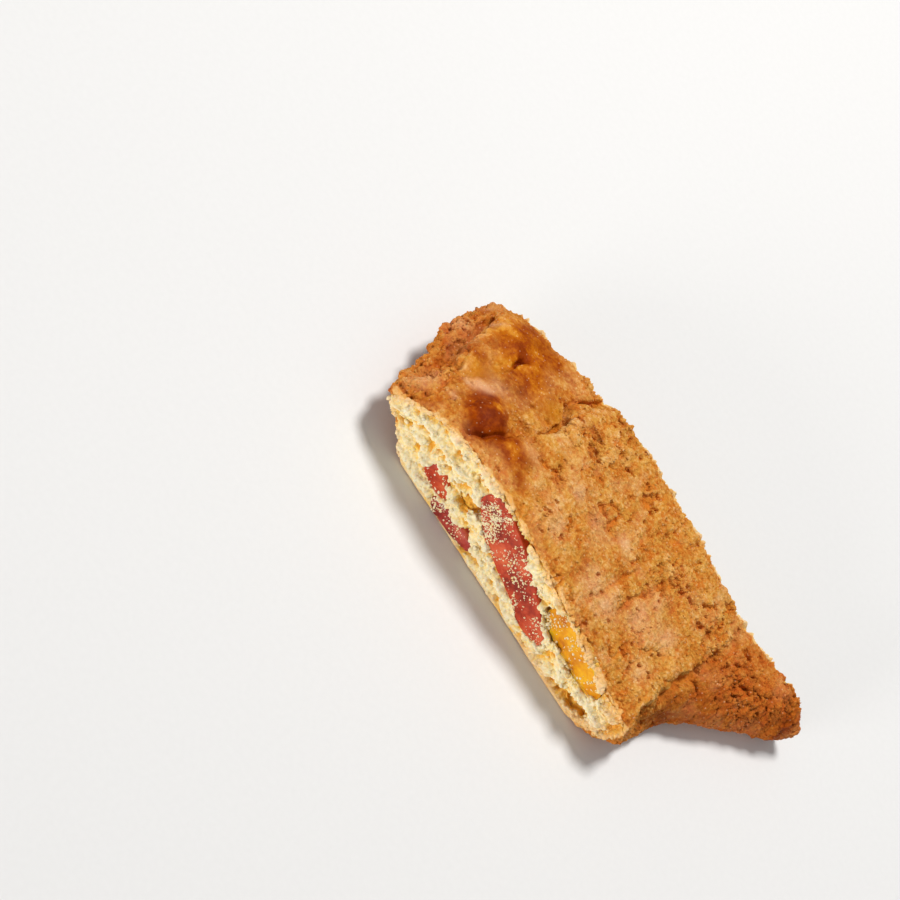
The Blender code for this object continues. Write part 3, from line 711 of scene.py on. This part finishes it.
# one mesh of small uneven grains, placed where weight (a value for each point of the ground) is high
def scatteredGrains(name, ground, weight, count, size, sunk, seed, values):
    draw = np.random.default_rng(seed)
    mesh = ground.data
    mesh.calc_loop_triangles()
    corners = np.empty(len(mesh.loop_triangles) * 3, dtype=np.int32)
    mesh.loop_triangles.foreach_get("vertices", corners)
    corners = corners.reshape(-1, 3)
    points, normals = meshPoints(mesh), meshNormals(mesh)
    a, b, c = points[corners[:, 0]], points[corners[:, 1]], points[corners[:, 2]]
    chance = np.linalg.norm(np.cross(b - a, c - a), axis=1) * weight[corners].mean(axis=1)
    chosen = draw.choice(len(corners), size=count, p=chance / chance.sum())
    u, v = draw.random((2, count, 1))
    u, v = np.where(u + v > 1, 1 - u, u), np.where(u + v > 1, 1 - v, v)
    spots = a[chosen] + u * (b - a)[chosen] + v * (c - a)[chosen]
    out = normals[corners[chosen, 0]]
    across = mix(size[0], size[1], draw.random((count, 1)) ** 2.2)
    spots = spots + out * across * (0.5 - sunk)

    # one small ball for each crumb, stretched, roughened, turned and set in its place
    bm = bmesh.new()
    for _ in range(count):
        bmesh.ops.create_icosphere(bm, subdivisions=1, radius=0.5)
    balls = np.array([v.co for v in bm.verts]).reshape(count, -1, 3)
    turns = draw.normal(size=(count, 3, 3))
    turns = np.linalg.qr(turns)[0]
    shapes = balls * draw.uniform(0.75, 1.25, (count, 1, 3))
    shapes = shapes * (1 + crumbs["jitter"] * draw.normal(size=(count, balls.shape[1], 1)))
    shapes = np.einsum("nij,nkj->nki", turns, shapes)
    flip = np.linalg.det(turns) < 0
    shapes[flip] = -shapes[flip]
    allPoints = spots[:, None] + shapes * across[:, None]
    for vert, point in zip(bm.verts, allPoints.reshape(-1, 3) * mm):
        vert.co = point
    grains = newObject(name, bm)
    made = grains.data
    tone = draw.normal(scale=crumbs["tone"], size=count)
    for key in doughValues:
        if key == "tone":
            each = tone
        elif key in values:
            each = np.full(count, values[key])
        else:
            each = readValue(mesh, key)[corners[chosen, 0]]
        storeValue(made, key, np.repeat(each, balls.shape[1]))
    made.shade_smooth()
    made.materials.append(crumbMaterial)
    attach(grains, "root")
    return grains


print("scattering crumbs")
height = meshPoints(body.data)[:, 2]
cut = readValue(body.data, "crumb")
hollow = readValue(body.data, "hollow")
glaze = readValue(body.data, "glaze")
coarse = readValue(body.data, "coarse")
isFront = meshNormals(body.data)[:, 1] < 0
offBase = smoothStep(0.3, 0.8, height)
onCut = smoothStep(0.3, 0.9, cut) * (1 - 0.8 * hollow) * np.where(isFront, 1.0, 0.6) * offBase
onCrust = (1 - cut) * (1 - 0.97 * glaze) * (0.08 + coarse) * (1 - 0.6 * hollow) * offBase
# the crumbs count as raised and outside the pores, so the material's painted shade leaves them lighter
scatteredGrains("cutCrumbs", body, onCut, values={"hollow": 0.0, "relief": 0.2}, **crumbs["onCut"])
scatteredGrains("crustCrumbs", body, onCrust, values={"hollow": 0.0, "relief": 0.1}, **crumbs["onCrust"])

candied = {
    "voxel": 0.40,
    "swell": 0.60,          # presses the strip against the crumb
    "ripple": (3.0, 0.22),
    "sunk": {"red_jelly_strip": 0.30, "low_red_strip": 0.10, "small_red_piece": 0.15,
             "yellow_jelly_strip": 0.7},
    "cloud": 3.5,           # patches of deeper colour, and the sugar's grain, both in mm
    "sugar": 0.7,
}


# a packed strip, swollen and rippled, with its front end sunk a little behind the crumb
def candiedStrip(name, newName):
    bm = copyOfNode(name)
    bm.normal_update()
    for v in bm.verts:
        v.co += Vector((v.normal.x, 0, v.normal.z)) * candied["swell"] * mm
    strip = newObject(newName, bm)
    voxelSkin(strip, candied["voxel"])
    bm = bmesh.new()
    bm.from_mesh(strip.data)
    for _ in range(4):
        bmesh.ops.smooth_vert(bm, verts=bm.verts, factor=0.5,
                              use_axis_x=True, use_axis_y=True, use_axis_z=True)
    bm.to_mesh(strip.data)
    bm.free()
    points, normals = meshPoints(strip.data), meshNormals(strip.data)
    size, height = candied["ripple"]
    rise = height * grainOf(points, size, 70, 2)
    frontFace = smoothStep(-0.3, -0.8, normals[:, 1])
    points += normals * rise[:, None]
    points[:, 1] += frontFace * candied["sunk"][name]
    movePoints(strip.data, points)
    storeValue(strip.data, "cutFace", frontFace)
    strip.data.shade_smooth()
    return strip


# candied fruit set in pectin: clear, soft gloss, deep colour where it is thick
def candiedFruit(name, deep, middle, pale, glow):
    material = newMaterial(name)
    place = addNode(material, "TexCoord").outputs["Object"]
    cloud = addNode(material, "TexNoise", {
        "Vector": place, "Scale": 1 / (candied["cloud"] * mm), "Detail": 3.0})
    sugar = addNode(material, "TexNoise", {
        "Vector": place, "Scale": 1 / (candied["sugar"] * mm), "Detail": 2.0})
    shade = addNode(material, "Math", {0: sugar.outputs["Fac"], 1: 0.35, 2: cloud.outputs["Fac"]},
                    operation="MULTIPLY_ADD")
    colour = addNode(material, "ValToRGB", {"Fac": shade.outputs[0]}, stops=[
        (0.45, deep), (0.68, middle), (0.92, pale)])
    bump = addNode(material, "Bump", {"Height": sugar.outputs["Fac"], "Strength": 0.35, "Distance": 0.3 * mm})
    rough = addNode(material, "MapRange", {"Value": sugar.outputs["Fac"], "To Min": 0.30, "To Max": 0.55})
    surface = addNode(material, "BsdfPrincipled", {
        "Base Color": colour.outputs["Color"], "Roughness": rough.outputs[0], "Normal": bump.outputs[0],
        "IOR": 1.45, "Specular IOR Level": 0.35,
        "Subsurface Weight": 0.5, "Subsurface Radius": glow, "Subsurface Scale": 1.5 * mm})
    addNode(material, "OutputMaterial", {"Surface": surface.outputs[0]})
    return material


# one material for each colour of fruit: deep, middle and pale, and how far red, green and blue light spread
print("setting the fruit")
redJelly = candiedFruit("redCandiedFruit", "#7A1A0C", "#B03A1C", "#CA5E38", (1.0, 0.25, 0.08))
darkJelly = candiedFruit("darkRedCandiedFruit", "#6A1812", "#A0362C", "#C4664C", (1.0, 0.15, 0.08))
orangeJelly = candiedFruit("orangeRedCandiedFruit", "#8A1C08", "#B03812", "#C85A2C", (1.0, 0.25, 0.08))
yellowJelly = candiedFruit("yellowCandiedFruit", "#B46202", "#D48C00", "#E6AE10", (1.0, 0.6, 0.10))
fruitStrips = []
for name, newName, material, slot in (
        ("red_jelly_strip", "redStrip", redJelly, "red_candied_fruit"),
        ("low_red_strip", "lowRedStrip", darkJelly, "dark_red_candied_fruit"),
        ("small_red_piece", "smallRedPiece", orangeJelly, "orange_red_candied_fruit"),
        ("yellow_jelly_strip", "yellowStrip", yellowJelly, "yellow_candied_fruit")):
    strip = candiedStrip(name, newName)
    strip.data.materials.clear()
    strip.data.materials.append(material)
    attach(strip, "root")
    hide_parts(name)
    fruitStrips.append(strip)

# pale crumbs and sugar stuck to the fruit where it was cut, most of them at its upper ends:
# how many the strip gets, and the x that the upper end reaches down to, in mm
dustedEnds = [(1.0, -15.0), (0.8, -26.0), (0.7, -30.0), (0.65, 2.0)]
bm = bmesh.new()
weights = []
for strip, (share, upperEnd) in zip(fruitStrips, dustedEnds):
    bm.from_mesh(strip.data)
    points = meshPoints(strip.data)
    patchy = smoothStep(-0.25, 0.5, grainOf(points, 3.0, 11, 2)) + 0.10
    upper = 0.45 + 1.0 * smoothStep(8.0, 0.0, points[:, 0] - upperEnd)
    weights.append(share * readValue(strip.data, "cutFace") * patchy * upper)
fruitCuts = newObject("fruitCuts", bm)
# these crumbs count as raised, so the material's painted shade leaves them pale
paleCrumb = {**dict.fromkeys(doughValues, 0.0), "crumb": 1.0, "fromCrust": 5.0, "relief": 0.3}
scatteredGrains("crumbsOnFruit", fruitCuts, np.concatenate(weights), values=paleCrumb, **crumbs["onFruit"])
bpy.data.objects.remove(fruitCuts)

studio = {
    "viewFrom": (-4.17, 46.76, 59.74),      # azimuth, elevation and roll, in degrees
    "aim": (-28.96, -8.08, 0.0),            # where the view axis meets the floor, in mm
    "distance": 511.8,                      # mm
    "lens": 120,
    "key": {"direction": (0.75, 0.75, 0.55), "distance": 0.9, "size": 0.26, "watts": 7.8},
    "fill": {"direction": (-0.75, -0.25, 0.8), "distance": 1.0, "size": 0.5, "watts": 12.0},
    "lamp": "#FFFDFA",
    "around": 0.30,
    "paper": (0.70, 0.73),
}


print("setting the studio")
turn, rise, roll = (radians(a) for a in studio["viewFrom"])
back = Vector((sin(turn) * cos(rise), -cos(turn) * cos(rise), sin(rise)))
camera = bpy.data.objects.new("camera", bpy.data.cameras.new("camera"))
bpy.context.scene.collection.objects.link(camera)
camera.data.lens = studio["lens"]
camera.data.sensor_width = 36
camera.data.clip_start = 0.01
upright = back.to_track_quat("Z", "Y").to_matrix()
camera.matrix_world = Matrix.Translation((Vector(studio["aim"]) + back * studio["distance"]) * mm) @ (
    upright @ Matrix.Rotation(roll, 3, "Z")).to_4x4()
bpy.context.scene.camera = camera
bpy.context.view_layer.update()

bm = bmesh.new()
bmesh.ops.create_grid(bm, x_segments=1, y_segments=1, size=4.0)
floor = newObject("floor", bm)
paper = newMaterial("pale studio paper")
tooth = addNode(paper, "TexNoise", {"Vector": addNode(paper, "TexCoord").outputs["Object"], "Scale": 900.0})
shade = addNode(paper, "MapRange", {
    "Value": tooth.outputs["Fac"], "To Min": studio["paper"][0], "To Max": studio["paper"][1]})
matte = addNode(paper, "BsdfPrincipled", {"Base Color": shade.outputs[0], "Roughness": 0.9})
addNode(paper, "OutputMaterial", {"Surface": matte.outputs[0]})
floor.data.materials.append(paper)


# a soft round light, its direction given as the camera sees it: right, up and towards the camera
def softLight(name, direction, distance, size, watts):
    lamp = bpy.data.lights.new(name, "AREA")
    lamp.shape = "DISK"
    lamp.size = size
    lamp.energy = watts
    lamp.color = linear(studio["lamp"])[:3]
    obj = bpy.data.objects.new(name, lamp)
    bpy.context.scene.collection.objects.link(obj)
    away = (camera.matrix_world.to_3x3() @ Vector(direction)).normalized()
    obj.location = away * distance
    obj.rotation_mode = "QUATERNION"
    obj.rotation_quaternion = away.to_track_quat("Z", "Y")


softLight("key", **studio["key"])
softLight("fill", **studio["fill"])
world = bpy.data.worlds.new("studio")
bpy.context.scene.world = world
world.use_nodes = True
world.node_tree.nodes["Background"].inputs["Color"].default_value = linear("#FFFFFF")
world.node_tree.nodes["Background"].inputs["Strength"].default_value = studio["around"]
bpy.context.scene.view_settings.view_transform = "Standard"
